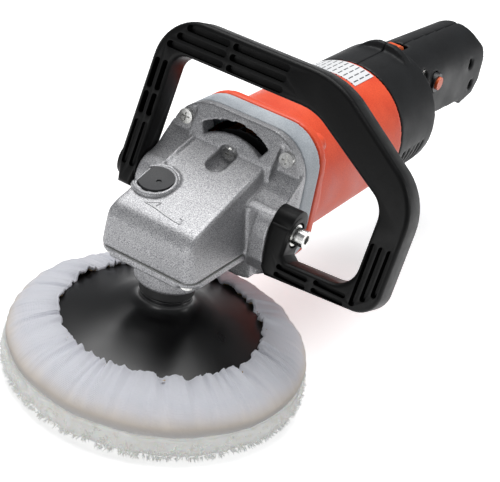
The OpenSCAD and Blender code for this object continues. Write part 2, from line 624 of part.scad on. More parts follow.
module handle_shell(s) difference() {
  union() {
    difference() {
      rear_solid(0);
      rear_solid(shell_t);
    }
    // screw posts
    intersection() {
      rear_solid(0.5);
      for (p = shell_screw_yz) translate([0, p[0], p[1]]) rotate([0, 90, 0]) cylinder(h = 120, r = 5, center = true);
    }
    // crescent guard rib ahead of the dial
    difference() {
      translate([0, 0, motor_r + rib_h - rib_r]) rod_y(dial_y - 18, 7, rib_r);
      rod_y(dial_y - 20, 12, motor_r - 1);
    }
  }
  translate([s > 0 ? -100 : 0, rear_y - 20, 0]) cube([100, 400, 300]);
  for (p = shell_screw_yz) translate([0, p[0], p[1]]) rotate([0, 90, 0]) cylinder(h = 120, r = screw_hole_r - 0.3, center = true);
  for (p = shell_screw_yz) translate([20, p[0], p[1]]) rotate([0, 90, 0]) cylinder(h = 60, r = 4.2);
  // dial slot, trigger slot, button hole, cord gland hole
  translate([-dial_w / 2 - 0.5, dial_y - dial_r - 1, dial_z - dial_r - 1]) cube([dial_w + 1, 2 * dial_r + 6, 60]);
  translate([-9.5, trigger_y - 1, grip_bottom - 40]) cube([19, trigger_len + 2, 62]);
  translate([10, lock_on_y, lock_on_z]) rotate([0, 90, 0]) cylinder(h = 60, r = lock_on_r + 2.6);
  translate([0, end_y - 20, grip_bottom + 20]) rotate([-90, 0, 0]) cylinder(h = 60, r = 8.01);
  // air-intake slots low on each side of the wide part
  for (i = [0:4]) translate([-60, rear_y + 10 + i * 7.5, motor_z - 26]) cube([120, 3, 20]);
}
module left_shell() color([0.16, 0.17, 0.18]) handle_shell(-1);
module right_shell() color([0.16, 0.17, 0.18]) handle_shell(1);
module shell_screws() color("silver") for (p = shell_screw_yz) translate([20, p[0], p[1]]) rotate([0, 90, 0])
  pan_screw(screw_hole_r - 0.4, 36, 4, 2.4);

/* ---- Controls ---- */
module speed_dial() color("darkorange") translate([-dial_w / 2, dial_y, dial_z]) rotate([0, 90, 0]) difference() {
  cylinder(h = dial_w, r = dial_r);
  translate([0, 0, -1]) cylinder(h = dial_w + 2, r = 1.5 + run_gap);
  for (i = [0:29]) rotate([0, 0, i * 12]) translate([dial_r, 0, -1]) cylinder(h = dial_w + 2, r = 0.5, $fn = 16);
}
module speed_module() color("seagreen") union() {
  translate([-dial_w / 2 - 1, dial_y, dial_z]) rotate([0, 90, 0]) cylinder(h = dial_w + 2, r = 1.5);
  for (s = [-1, 1]) translate([s * (dial_w / 2 + 1.5) - 1, dial_y - 5, dial_z - dial_r - 5]) cube([2, 10, dial_r + 8]);
  translate([-14, dial_y - 9, dial_z - dial_r - 14]) cube([28, 20, 10]);
}
switch_z = grip_bottom + 22;
module switch_body() color([0.25, 0.25, 0.27]) difference() {
  translate([-11, trigger_y, switch_z]) cube([22, trigger_len - 8, 20]);
  translate([0, trigger_y + 12, switch_z - 1]) cylinder(h = 9, r = 3.4);
}
module trigger() color([0.12, 0.12, 0.13]) translate([-9, 0, 0]) rotate([90, 0, 90]) linear_extrude(18) polygon([
  [trigger_y, grip_bottom + 13], [trigger_y, grip_bottom + 2], [trigger_y + 6, grip_bottom - 9],
  [trigger_y + 16, grip_bottom - 12], [trigger_y + 32, grip_bottom - 9], [trigger_y + trigger_len, grip_bottom - 1],
  [trigger_y + trigger_len, grip_bottom + 13]]);
module trigger_spring() color("silver") translate([0, trigger_y + 12, grip_bottom + 13.5])
  coil_spring(2.4, 0.45, switch_z + 7.4 - grip_bottom - 13.5, 5);
module lock_on_collar() color([0.1, 0.1, 0.1]) translate([grip_half_w - 4, lock_on_y, lock_on_z]) rotate([0, 90, 0])
  difference() {
    cylinder(h = 5.5, r = lock_on_r + 2.5);
    translate([0, 0, -1]) cylinder(h = 20, r = lock_on_r + run_gap);
  }
module lock_on_button() color("darkorange") translate([grip_half_w - 9, lock_on_y, lock_on_z]) rotate([0, 90, 0])
  cylinder(h = 12.5, r = lock_on_r);
module cord_inlet() color([0.08, 0.08, 0.08]) translate([0, end_y - 9, grip_bottom + 20]) rotate([-90, 0, 0]) difference() {
  union() {
    cylinder(h = 12, r = 8);
    cylinder(h = 5, r = 11);
  }
  translate([0, 0, -1]) cylinder(h = 20, r = 4);
}

/* ---- Loop handle ---- */
function arc(cx, cy, r, a0, a1, n) = [for (i = [0:n]) let (a = a0 + (a1 - a0) * i / n) [cx + r * cos(a), cy + r * sin(a)]];
inner_right = loop_right - side_t;
loop_in = loop_top - bar_t;
bend_s = loop_top - 60;
module loop_outline() polygon(concat(
  // outside, from the left arm's foot round to the right arm's head
  [[-arm_out + 4, -14.5], [-arm_out, 2]],
  arc(-arm_out + corner_r, loop_top - corner_r, corner_r, 180, 90, 9),
  arc(42, bend_s, 60, 90, 60, 5),
  arc(loop_right - 40, bend_s - 9, 40, 60, 0, 8),
  arc(loop_right - 15, loop_low + 18.5, 15, 0, -85, 8),
  [[boss_x + 7, loop_low], [boss_x + 3, loop_low + 4], [arm_in, loop_low + 20], [arm_in, knuckle_s], [arm_out, knuckle_s]],
  // inside, back again
  [[arm_out, loop_low + 16], [arm_out + 4, loop_low + 13]],
  arc(inner_right - 14, loop_low + 28.5, 14, -88, 0, 6),
  arc(inner_right - 16, bend_s - 8.5, 16, 0, 57, 6),
  arc(42, bend_s, 60 - bar_t, 57, 90, 5),
  arc(-arm_in + 10, loop_in - 10, 10, 90, 180, 5),
  [[-arm_in, -14.5]]));
function seat(s) = bolt_seat[s < 0 ? 0 : 1];
// Children drawn in the handle's plane stand on the pivot line and lean back
module in_loop_plane() translate([0, pivot_y, pivot_z]) rotate([90 - lean, 0, 0]) children();
// A blind pocket in the front face, w wide and h high
pocket_d = 6.2;
module pocket(x, s, w, h, d = pocket_d) translate([x, s, loop_front - d]) linear_extrude(20) rounded(w / 2, h / 2, min(w, h) / 2 - 0.2);
module loop_handle() color([0.09, 0.09, 0.09]) difference() {
  union() {
    in_loop_plane() translate([0, 0, loop_front - loop_d]) linear_extrude(loop_d) loop_outline();
    for (x = [-arm_out, arm_in]) translate([x + 0.1, pivot_y, pivot_z]) rotate([0, 90, 0])
      cylinder(h = arm_out - arm_in - 0.2, r = end_r);
    in_loop_plane() translate([arm_in + 0.3, knuckle_s, 0.4]) rotate([0, 90, 0])
      cylinder(h = arm_out - arm_in - 0.7, r = loop_d / 2);
  }
  in_loop_plane() {
    for (p = [[13, 30, 3.6], [39.5, 15, pocket_d], [59, 20, pocket_d]], j = [0:1])
      pocket(-arm_out + 4.9 + j * 6, p[0], 3.8, p[1], p[2]);
    for (j = [0:2]) {
      pocket(-36 + j * 2.6, loop_in + 3.9 + j * 6.8, 42 - j * 5, 4.4);
      pocket(8, loop_in + 3.9 + j * 6.8, 41, 4.4);
    }
    for (i = [0:1], j = [0:1]) pocket(arm_out + 10 + i * 26, loop_low + 4.2 + i + j * 5, 22, 3.2);
    for (j = [0:2]) pocket(inner_right + 4 + j * 5.6, loop_low + 26.5 + 2.5 * j, 3.6, 40 - 5 * j);
  }
  for (s = [-1, 1]) translate([s * boss_x, pivot_y, pivot_z]) rotate([0, s * 90, 0]) translate([0, 0, -1]) {
    cylinder(h = 40, r = bolt_r + run_gap);
    translate([0, 0, arm_t - seat(s) + 1]) cylinder(h = 20, r = s < 0 ? seat_r : 8.6);
  }
}
module bolt_washers() color("silver") for (s = [-1, 1]) translate([s * (arm_out - seat(s) + 0.25), pivot_y, pivot_z])
  rotate([0, s * 90, 0]) difference() {
    cylinder(h = 1.2, r = seat_r - 0.3);
    translate([0, 0, -1]) cylinder(h = 4, r = bolt_r + run_gap);
  }
module handle_bolts() color("silver") for (s = [-1, 1])
  translate([s * (arm_out - seat(s) + 1.45), pivot_y, pivot_z]) rotate([0, s * 90, 0]) difference() {
    union() {
      cylinder(h = head_len, r = head_r);
      translate([0, 0, -arm_t + seat(s) - 13]) cylinder(h = arm_t - seat(s) + 13, r = bolt_r);
    }
    translate([0, 0, head_len - 4.5]) cylinder(h = 6, r = 3.2, $fn = 6);
  }

wool_pile();
bonnet_skirt();
hem_cord();
backing_pad();
hub_nut();
dust_ring();
spindle();
crown_gear();
gear_circlip();
lower_bearing();
top_bush();
bearing_cover();
cover_screws();
gasket();
gear_housing();
lock_button();
lock_spring();
flange_screws();
channel_screw();
bearing_retainer();
front_bearing();
air_ring();
motor_housing();
rating_label();
stator_core();
field_coils();
armature_shaft();
pinion();
fan();
armature_core();
armature_windings();
commutator();
rear_bearing();
brush_holders();
carbon_brushes();
brush_caps();
left_shell();
right_shell();
shell_screws();
speed_dial();
speed_module();
switch_body();
trigger();
trigger_spring();
lock_on_collar();
lock_on_button();
cord_inlet();
loop_handle();
handle_bolts();
bolt_washers();
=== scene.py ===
"""Looks for a rotary polisher with a tied-on wool bonnet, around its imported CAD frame."""

from math import atan2, cos, pi, radians, sin

import bmesh
import bpy
from mathutils import Matrix, Vector, noise


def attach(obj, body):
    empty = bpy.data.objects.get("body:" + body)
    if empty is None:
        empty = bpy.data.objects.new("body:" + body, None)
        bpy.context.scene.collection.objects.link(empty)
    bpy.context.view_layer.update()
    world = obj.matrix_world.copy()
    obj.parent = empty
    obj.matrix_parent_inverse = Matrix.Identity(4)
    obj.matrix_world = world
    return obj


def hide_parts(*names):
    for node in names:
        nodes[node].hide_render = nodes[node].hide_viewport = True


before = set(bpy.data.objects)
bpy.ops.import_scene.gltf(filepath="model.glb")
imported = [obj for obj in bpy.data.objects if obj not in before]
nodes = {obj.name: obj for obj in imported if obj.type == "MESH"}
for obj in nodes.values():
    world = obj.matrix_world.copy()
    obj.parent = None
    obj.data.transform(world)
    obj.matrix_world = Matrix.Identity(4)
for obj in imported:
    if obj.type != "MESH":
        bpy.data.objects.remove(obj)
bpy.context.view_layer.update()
MM = 0.001

# ---- Studio: the camera, a pale floor and soft lights ----
# The camera looks down on the working end from the side that carries the
# loop handle's hand grip. Distances are in metres.
AIM = Vector((0, 0.060, 0.100))
AZIMUTH, ELEVATION, ROLL = radians(27.02), radians(29.31), radians(11.52)
DISTANCE, SHIFT_RIGHT, SHIFT_UP = 0.9037, -0.01336, 0.02455
away = Vector((sin(AZIMUTH) * cos(ELEVATION), -cos(AZIMUTH) * cos(ELEVATION), sin(ELEVATION)))
level = Vector((cos(AZIMUTH), sin(AZIMUTH), 0))
upright = away.cross(level)
cam_right = cos(ROLL) * level + sin(ROLL) * upright
cam_up = -sin(ROLL) * level + cos(ROLL) * upright
camera = bpy.data.objects.new("camera", bpy.data.cameras.new("camera"))
camera.data.lens = 100.8
camera.data.clip_end = 20
camera.matrix_world = Matrix((cam_right, cam_up, away)).transposed().to_4x4()
camera.location = AIM + away * DISTANCE - cam_right * SHIFT_RIGHT - cam_up * SHIFT_UP
bpy.context.scene.collection.objects.link(camera)
bpy.context.scene.camera = camera


def colour(code):
    """An sRGB hex code as the linear colour that Blender works in."""
    parts = [int(code[i:i + 2], 16) / 255 for i in (0, 2, 4)]
    return [c / 12.92 if c <= 0.04045 else ((c + 0.055) / 1.055) ** 2.4 for c in parts] + [1]


def new_material(name, base, roughness, metallic=0.0):
    """A material with its own Principled shader, and that shader."""
    made = bpy.data.materials.new(name)
    made.use_nodes = True
    shader = made.node_tree.nodes["Principled BSDF"]
    shader.inputs["Base Color"].default_value = colour(base)
    shader.inputs["Roughness"].default_value = roughness
    shader.inputs["Metallic"].default_value = metallic
    return made, shader


def add(made, kind, inputs=None, **settings):
    """Adds a node with its settings, and its inputs as values or as links from sockets."""
    new = made.node_tree.nodes.new(kind)
    for key, value in settings.items():
        setattr(new, key, value)
    for key, value in (inputs or {}).items():
        if isinstance(value, bpy.types.NodeSocket):
            made.node_tree.links.new(value, new.inputs[key])
        else:
            new.inputs[key].default_value = value
    return new


def piece(name, bm, material, body, smooth=True):
    """Makes a bmesh a finished piece that rides on a body."""
    mesh = bpy.data.meshes.new(name)
    bm.to_mesh(mesh)
    bm.free()
    if smooth:
        mesh.shade_smooth()
    mesh.materials.append(material)
    made = bpy.data.objects.new(name, mesh)
    bpy.context.scene.collection.objects.link(made)
    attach(made, body)
    return made


floor_white, floor_shader = new_material("matte_paper_sweep", "FFFFFF", 0.9)
floor_shader.inputs["Emission Color"].default_value = colour("FFFFFF")
floor_shader.inputs["Emission Strength"].default_value = 0.45
bm = bmesh.new()
bmesh.ops.create_grid(bm, x_segments=1, y_segments=1, size=6)
bmesh.ops.translate(bm, verts=bm.verts, vec=(0, 0, -0.0005))
floor_mesh = bpy.data.meshes.new("floor")
bm.to_mesh(floor_mesh)
bm.free()
floor_mesh.materials.append(floor_white)
floor = bpy.data.objects.new("floor", floor_mesh)
bpy.context.scene.collection.objects.link(floor)
# The sweep is seen but throws no light back up, so that the undersides stay dark.
floor.visible_diffuse = False

world = bpy.data.worlds.new("studio")
bpy.context.scene.world = world
world.use_nodes = True
world.node_tree.nodes["Background"].inputs["Color"].default_value = colour("F2F4F8")
world.node_tree.nodes["Background"].inputs["Strength"].default_value = 0.30


def softbox(name, place, target, size, power):
    """A square soft light that points at a place."""
    lamp = bpy.data.lights.new(name, "AREA")
    lamp.size = size
    lamp.energy = power
    made = bpy.data.objects.new(name, lamp)
    made.location = place
    made.rotation_euler = (Vector(target) - Vector(place)).to_track_quat("-Z", "Y").to_euler()
    bpy.context.scene.collection.objects.link(made)


softbox("overhead", (-0.45, 0.55, 1.9), (0, 0.1, 0.1), 1.4, 32)
softbox("front_fill", (-0.5, -1.7, 0.8), (0, 0.1, 0.1), 1.0, 1.6)
softbox("low_fill", (0.1, -1.3, 0.12), (0, -0.1, 0.01), 0.6, 4.5)
softbox("edge", (1.4, 0.9, 0.9), (0, 0.1, 0.1), 0.7, 6)
bpy.context.scene.view_settings.view_transform = "Standard"

# ---- Wool pile: long off-white wool on a knitted backing, the bonnet's working face ----
# A lumpy cushion of pile, with locks of loose wool standing out of its edge.
PILE_PROFILE = ((0, 0.0005), (0.045, 0), (0.086, 0.0004), (0.0925, 0.002), (0.0965, 0.006),
                (0.0975, 0.0095), (0.0965, 0.013), (0.0945, 0.0165), (0.088, 0.0172), (0, 0.0172))


def turned(profile, steps, layer=None):
    """A closed surface of revolution about Z from (radius, height) points, as a bmesh."""
    made = bmesh.new()
    along = made.verts.layers.float.new(layer) if layer else None
    row = [made.verts.new((r, 0, z)) for r, z in profile]
    if layer:
        for i, vert in enumerate(row):
            vert[along] = i / (len(row) - 1)
    edges = [made.edges.new(pair) for pair in zip(row, row[1:])]
    bmesh.ops.spin(made, geom=row + edges, cent=(0, 0, 0), axis=(0, 0, 1), angle=2 * pi,
                   steps=steps, use_merge=True)
    bmesh.ops.remove_doubles(made, verts=made.verts, dist=1e-6)
    bmesh.ops.recalc_face_normals(made, faces=made.faces)
    return made


def smooth_points(points, per_span):
    """Catmull-Rom points through the given ones, per_span for each span."""
    ends = [points[0]] + list(points) + [points[-1]]
    out = []
    for a, b, c, d in zip(ends, ends[1:], ends[2:], ends[3:]):
        for i in range(per_span):
            t = i / per_span
            out.append([0.5 * (2 * q + (r - p) * t + (2 * p - 5 * q + 4 * r - s) * t * t
                               + (3 * q - p - 3 * r + s) * t ** 3) for p, q, r, s in zip(a, b, c, d)])
    return out + [list(points[-1])]


wool, wool_shader = new_material("carded_lambswool", "F6F5F1", 0.95)
# The wool glows faintly by its own emission: painted light that stands in for light passed on between the
# loose fibres.
wool_shader.inputs["Emission Color"].default_value = colour("FFFFFA")
wool_shader.inputs["Emission Strength"].default_value = 0.12
wool_shader.inputs["Subsurface Weight"].default_value = 0.25
wool_shader.inputs["Subsurface Scale"].default_value = 0.004
wool_shader.inputs["Sheen Weight"].default_value = 0.6
wool_shader.inputs["Sheen Roughness"].default_value = 0.6
place = add(wool, "ShaderNodeTexCoord").outputs["Object"]
clumps = add(wool, "ShaderNodeTexNoise", {"Vector": place, "Scale": 240, "Detail": 3})
shades = add(wool, "ShaderNodeValToRGB", {"Fac": clumps.outputs["Fac"]})
low, high = shades.color_ramp.elements
low.position, low.color = 0.3, colour("ECEBE4")
high.position, high.color = 0.65, colour("FFFFFC")
wool.node_tree.links.new(shades.outputs["Color"], wool_shader.inputs["Base Color"])
fibres = add(wool, "ShaderNodeTexNoise", {"Vector": place, "Scale": 900, "Detail": 2})
wool.node_tree.links.new(add(wool, "ShaderNodeBump", {
    "Height": fibres.outputs["Fac"], "Distance": 0.0005, "Strength": 0.15}).outputs["Normal"],
    wool_shader.inputs["Normal"])

# The pile stands up in lumps about 11 mm and 4 mm across, from LUMPS_FROM outwards.
LUMP_HEIGHT, LUMPS_FROM, LUMPS_FADE = 0.0016, 0.07, 0.02
bm = turned(smooth_points(PILE_PROFILE, 5), 300)
for vert in bm.verts:
    spread = vert.co.xy.length
    if spread > LUMPS_FROM:
        out = vert.co.xy.normalized().to_3d()
        lump = noise.noise(vert.co * 90) + 0.6 * noise.noise(vert.co * 230)
        vert.co += out * lump * LUMP_HEIGHT * min(1, (spread - LUMPS_FROM) / LUMPS_FADE)
        vert.co.z = max(0, vert.co.z + 0.0006 * noise.noise(vert.co * 150) * (vert.co.z > 0.002))
pile = piece("wool_pile_fleece", bm, wool, "spindle_group")
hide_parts("wool_pile")

# A lock of wool is three thin tapering strands that lean apart as they leave the pile.
LOCKS, FIBRES_IN_LOCK = 1500, 3
FIBRE_RADIUS, TIP_RADIUS, SHORTEST, LONGER_BY = 0.00042, 0.00008, 0.0020, 0.0016
ROOT_SPREAD, TIP_LEAN, LOWEST_Z = 0.0014, 0.0026, 0.0001
noise.seed_set(7)
bm = bmesh.new()
for i in range(LOCKS):
    turn = 2 * pi * i / LOCKS + 0.03 * noise.random()
    share = noise.random()
    height = 0.0008 + 0.0150 * share
    reach = 0.0966 - 0.0035 * (2 * share - 1) ** 2
    tilt = radians(96 + 44 * (0.5 - share) + 30 * (noise.random() - 0.5))
    swing = radians(70 * (noise.random() - 0.5))
    for fibre in range(FIBRES_IN_LOCK):
        strand = bmesh.new()
        bmesh.ops.create_cone(strand, cap_ends=True, segments=3, radius1=FIBRE_RADIUS, radius2=TIP_RADIUS,
                              depth=1)
        bmesh.ops.translate(strand, verts=strand.verts, vec=(0, 0, 0.5))
        standing = [e for e in strand.edges if abs(e.verts[0].co.z - e.verts[1].co.z) > 0.5]
        bmesh.ops.subdivide_edges(strand, edges=standing, cuts=2)
        root = Vector((noise.random() - 0.5, noise.random() - 0.5, 0)) * ROOT_SPREAD
        lean = Vector((noise.random() - 0.5, noise.random() - 0.5, 0)) * TIP_LEAN
        for vert in strand.verts:
            vert.co += root + lean * vert.co.z ** 2
        length = SHORTEST + LONGER_BY * noise.random()
        bmesh.ops.transform(strand, verts=strand.verts, matrix=(
            Matrix.Translation((reach * cos(turn), reach * sin(turn), height))
            @ Matrix.Rotation(turn + swing, 4, "Z") @ Matrix.Rotation(tilt, 4, "Y")
            @ Matrix.Diagonal((1, 1, length, 1))))
        joined = bpy.data.meshes.new("wool_strand")
        strand.to_mesh(joined)
        strand.free()
        bm.from_mesh(joined)
        bpy.data.meshes.remove(joined)
for vert in bm.verts:
    vert.co.z = max(LOWEST_Z, vert.co.z)
piece("wool_loose_locks", bm, wool, "spindle_group")

# ---- Bonnet skirt: bleached cotton, sewn to the pile and gathered over the pad ----
# The cloth rises from the seam, turns over the pad's edge and runs in to a
# hem that a drawcord pulls tight, so that radial folds sharpen towards the hem.
SKIRT_PROFILE = ((0.0945, 0.0168), (0.0962, 0.0205), (0.0958, 0.0245), (0.0925, 0.0292), (0.0865, 0.0338),
                 (0.0785, 0.0372), (0.0712, 0.0394), (0.0668, 0.0404))
HEM_CURL = ((0.0655, 0.0402), (0.0648, 0.0392), (0.0653, 0.0382), (0.0668, 0.0378), (0.0690, 0.0380))
cloth, cloth_shader = new_material("bleached_cotton_plain_weave", "E8E9EF", 0.92)
cloth_shader.inputs["Sheen Weight"].default_value = 0.25
cloth_shader.inputs["Sheen Roughness"].default_value = 0.5
place = add(cloth, "ShaderNodeTexCoord")
# Threads are 0.5 mm apart in the real cloth and are drawn at 0.8 mm so that they show.
weave = add(cloth, "ShaderNodeMapping", {"Vector": place.outputs["UV"], "Scale": (720, 70, 1)})
warp = add(cloth, "ShaderNodeTexWave", {"Vector": weave.outputs["Vector"], "Scale": 0.32, "Distortion": 0.4,
                                        "Detail": 1.0}, wave_type="BANDS", bands_direction="X")
weft = add(cloth, "ShaderNodeTexWave", {"Vector": weave.outputs["Vector"], "Scale": 0.32, "Distortion": 0.4,
                                        "Detail": 1.0}, wave_type="BANDS", bands_direction="Y")
threads = add(cloth, "ShaderNodeMath", {0: warp.outputs["Fac"], 1: weft.outputs["Fac"]}, operation="MULTIPLY")
across = add(cloth, "ShaderNodeSeparateXYZ", {"Vector": place.outputs["Object"]})
# The band over the seam is backed by the knit of the pile and reads as beige.
band = add(cloth, "ShaderNodeValToRGB", {"Fac": add(cloth, "ShaderNodeMapRange", {
    "Value": across.outputs["Z"], "From Min": 0.017, "From Max": 0.034}).outputs["Result"]})
ramp = band.color_ramp
ramp.elements[0].position, ramp.elements[0].color = 0.0, colour("F0EEEE")
ramp.elements[1].position, ramp.elements[1].color = 1.0, colour("E7E8EF")
middle = ramp.elements.new(0.42)
middle.color = colour("FBF0E4")
last = ramp.elements.new(0.78)
last.color = colour("F0EEF2")
cloth.node_tree.links.new(band.outputs["Color"], cloth_shader.inputs["Base Color"])
cloth.node_tree.links.new(add(cloth, "ShaderNodeBump", {
    "Height": threads.outputs["Value"], "Distance": 0.0004, "Strength": 0.8}).outputs["Normal"],
    cloth_shader.inputs["Normal"])


def gather(out, share):
    """How far the cloth stands up in folds, seen along a direction from the axis."""
    lean = Vector((-out.y, out.x, 0)) * 0.25 * noise.noise(out * 3) * share
    height = 0
    for pitch, depth in ((5.5, 1.0), (11, 1.0), (24, 0.45)):
        wave = noise.noise((out + lean) * pitch + Vector((0, 0, pitch + share * 0.5)))
        height += depth * (0.42 - abs(wave) * 1.7)
    return height


FOLD_HEIGHT, HEM_WANDER, HEM_SCALLOP, CRUMPLE, CLOTH_THICKNESS = 0.0034, 0.0030, 0.0012, 0.0009, 0.0006
# Shares of the way from seam to hem: where the folds start, their rise, and where the hem starts to wander.
FOLDS_FROM, FOLDS_RISE, WANDER_FROM = 0.08, 0.62, 0.6
bm = turned(smooth_points(SKIRT_PROFILE, 7) + smooth_points(HEM_CURL, 3), 640, "along")
along = bm.verts.layers.float["along"]
for vert in bm.verts:
    share = vert[along]
    out = vert.co.xy.normalized().to_3d()
    # Sharp creases near the hem fade out before the seam.
    pull = max(0.0, min(1.0, (share - FOLDS_FROM) / FOLDS_RISE))
    fold = gather(out, share)
    lift = Vector((0, 0, 1))
    if share <= 0.5:
        lift = (out * (1 - 2 * share) + Vector((0, 0, 2 * share))).normalized()
    vert.co += lift * fold * FOLD_HEIGHT * pull ** 1.1
    if share > WANDER_FROM:
        shift = HEM_WANDER * noise.noise(out * 11) + HEM_SCALLOP * fold
        vert.co += out * shift * (share - WANDER_FROM) / 0.4
    vert.co += out * CRUMPLE * noise.noise(vert.co * 45)
uv = bm.loops.layers.uv.new("UVMap")
for face in bm.faces:
    angles = [atan2(loop.vert.co.y, loop.vert.co.x) / (2 * pi) for loop in face.loops]
    if max(angles) - min(angles) > 0.5:
        angles = [a + 1 if a < 0 else a for a in angles]
    for loop, a in zip(face.loops, angles):
        loop[uv].uv = (a, loop.vert[along])
skirt = piece("bonnet_skirt_cloth", bm, cloth, "spindle_group")
thick = skirt.modifiers.new("cloth thickness", "SOLIDIFY")
thick.thickness, thick.offset = CLOTH_THICKNESS, -1
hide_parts("bonnet_skirt")

# ---- Drawcord: two-ply twisted cotton, threaded through the hem ----
# A closed loop that lies inside the curl of the hem and follows its folds.
# Undyed yarn gives it a tan colour with darker and lighter fibres.
cord_tan, cord_shader = new_material("twisted_cotton_cord", "C8AE8E", 0.9)
place = add(cord_tan, "ShaderNodeTexCoord").outputs["Object"]
yarn = add(cord_tan, "ShaderNodeTexNoise", {"Vector": place, "Scale": 1600, "Detail": 2})
yarn_shades = add(cord_tan, "ShaderNodeValToRGB", {"Fac": yarn.outputs["Fac"]})
low, high = yarn_shades.color_ramp.elements
low.position, low.color = 0.35, colour("A98C69")
high.position, high.color = 0.65, colour("D8C3A4")
cord_tan.node_tree.links.new(yarn_shades.outputs["Color"], cord_shader.inputs["Base Color"])
cord_tan.node_tree.links.new(add(cord_tan, "ShaderNodeBump", {
    "Height": yarn.outputs["Fac"], "Distance": 0.0002, "Strength": 0.5}).outputs["Normal"],
    cord_shader.inputs["Normal"])
PLY_RADIUS, PLY_OFFSET = 0.0007, 0.0006
CORD_RADIUS, CORD_HEIGHT, TWISTS, STEPS = 0.0674, 0.0376, 90, 720
twine = bpy.data.curves.new("hem_drawcord", "CURVE")
twine.dimensions, twine.bevel_depth, twine.bevel_resolution = "3D", PLY_RADIUS, 1
for ply in (0, pi):
    strand = twine.splines.new("POLY")
    strand.points.add(STEPS - 1)
    strand.use_cyclic_u = True
    for i, point in enumerate(strand.points):
        turn = 2 * pi * i / STEPS
        out = Vector((cos(turn), sin(turn), 0))
        fold = gather(out, 0.95)
        hem_shift = HEM_WANDER * noise.noise(out * 11)
        reach = CORD_RADIUS + hem_shift + HEM_SCALLOP * fold + PLY_OFFSET * cos(TWISTS * turn + ply)
        height = CORD_HEIGHT + FOLD_HEIGHT * fold + PLY_OFFSET * sin(TWISTS * turn + ply)
        point.co = (reach * out.x, reach * out.y, height, 1)
twine.materials.append(cord_tan)
drawcord = bpy.data.objects.new("hem_drawcord", twine)
bpy.context.scene.collection.objects.link(drawcord)
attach(drawcord, "spindle_group")
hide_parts("hem_cord")

# ---- Backing pad: black polyurethane moulding on the spindle, shiny from its mould ----
# A flat disc that swells up into a neck, with two shallow rings turned in it.
PAD_PROFILE = ((0, 0.0186), (0.0860, 0.0186), (0.0880, 0.0206), (0.0880, 0.0246), (0.0845, 0.0285),
               (0.0780, 0.0327), (0.0660, 0.0369), (0.0520, 0.0410), (0.0400, 0.0447), (0.0320, 0.0476),
               (0.0262, 0.0496), (0.0215, 0.0512), (0.0185, 0.0530), (0.0170, 0.0550), (0.0166, 0.0575))
PAD_TOP = ((0.0155, 0.0577), (0.0155, 0.0583), (0.0164, 0.0585), (0.0164, 0.0598), (0.0155, 0.0600),
           (0, 0.0600))
moulded_pad, pad_shader = new_material("moulded_polyurethane", "050506", 0.3)
place = add(moulded_pad, "ShaderNodeTexCoord").outputs["Object"]
mottle = add(moulded_pad, "ShaderNodeTexNoise", {"Vector": place, "Scale": 35, "Detail": 2})
gloss = add(moulded_pad, "ShaderNodeMapRange", {
    "Value": mottle.outputs["Fac"], "To Min": 0.22, "To Max": 0.4})
moulded_pad.node_tree.links.new(gloss.outputs["Result"], pad_shader.inputs["Roughness"])
skin = add(moulded_pad, "ShaderNodeTexNoise", {"Vector": place, "Scale": 1500, "Detail": 1})
moulded_pad.node_tree.links.new(add(moulded_pad, "ShaderNodeBump", {
    "Height": skin.outputs["Fac"], "Distance": 0.0002, "Strength": 0.12}).outputs["Normal"],
    pad_shader.inputs["Normal"])
bm = turned([[0, 0.0186]] + smooth_points(PAD_PROFILE[1:], 4) + [list(p) for p in PAD_TOP], 200)
pad = piece("backing_pad_moulding", bm, moulded_pad, "spindle_group")
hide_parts("backing_pad")

# ---- Gear head and bearing cover: aluminium castings, grit-blasted and silver lacquered ----
# The castings keep the frame's shape, with their edges and inside corners
# rounded as a mould leaves them.

BROAD_PASSES = 26


def mould_rounded(name, cad_node, material, body, grain, passes, keep=1.0, raised=(), broad=None):
    """A copy of a CAD node, remade at a fine grain and smoothed so that its edges round off.

    raised are shapes joined to it first, and broad picks the points that get a larger radius.
    """
    made_bm = bmesh.new()
    for shape in (nodes[cad_node].data,) + raised:
        made_bm.from_mesh(shape)
    bmesh.ops.remove_doubles(made_bm, verts=made_bm.verts, dist=2e-6)
    made = piece(name, made_bm, material, body)
    remade = made.modifiers.new("fine grain", "REMESH")
    remade.mode, remade.voxel_size, remade.use_smooth_shade = "VOXEL", grain, True
    graph = bpy.context.evaluated_depsgraph_get()
    fine = bpy.data.meshes.new_from_object(made.evaluated_get(graph))
    made.modifiers.clear()
    made.data = fine
    if broad:
        chosen = made.vertex_groups.new(name="broad radius")
        chosen.add([v.index for v in fine.vertices if broad(v.co)], 1, "REPLACE")
        wide = made.modifiers.new("broad radius", "SMOOTH")
        wide.factor, wide.iterations, wide.vertex_group = 0.5, BROAD_PASSES, chosen.name
    rounded = made.modifiers.new("rounded edges", "SMOOTH")
    rounded.factor, rounded.iterations = 0.5, passes
    if keep < 1:
        thinned = made.modifiers.new("fewer faces", "DECIMATE")
        thinned.ratio = keep
    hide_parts(cad_node)


casting, cast_shader = new_material("blasted_silver_lacquered_aluminium_casting", "B4B3B1", 0.45, 0.55)
place = add(casting, "ShaderNodeTexCoord").outputs["Object"]
# The blasted grain is 0.3 to 0.6 mm across and is drawn at 0.7 mm so that it shows.
grit = add(casting, "ShaderNodeTexNoise", {"Vector": place, "Scale": 1700, "Detail": 2, "Roughness": 0.6})
sparkle = add(casting, "ShaderNodeValToRGB", {"Fac": grit.outputs["Fac"]})
low, high = sparkle.color_ramp.elements
low.position, low.color = 0.34, colour("76767A")
high.position, high.color = 0.66, colour("CFCFD0")
casting.node_tree.links.new(sparkle.outputs["Color"], cast_shader.inputs["Base Color"])
casting.node_tree.links.new(add(casting, "ShaderNodeBump", {
    "Height": grit.outputs["Fac"], "Distance": 0.0003, "Strength": 0.4}).outputs["Normal"],
    cast_shader.inputs["Normal"])
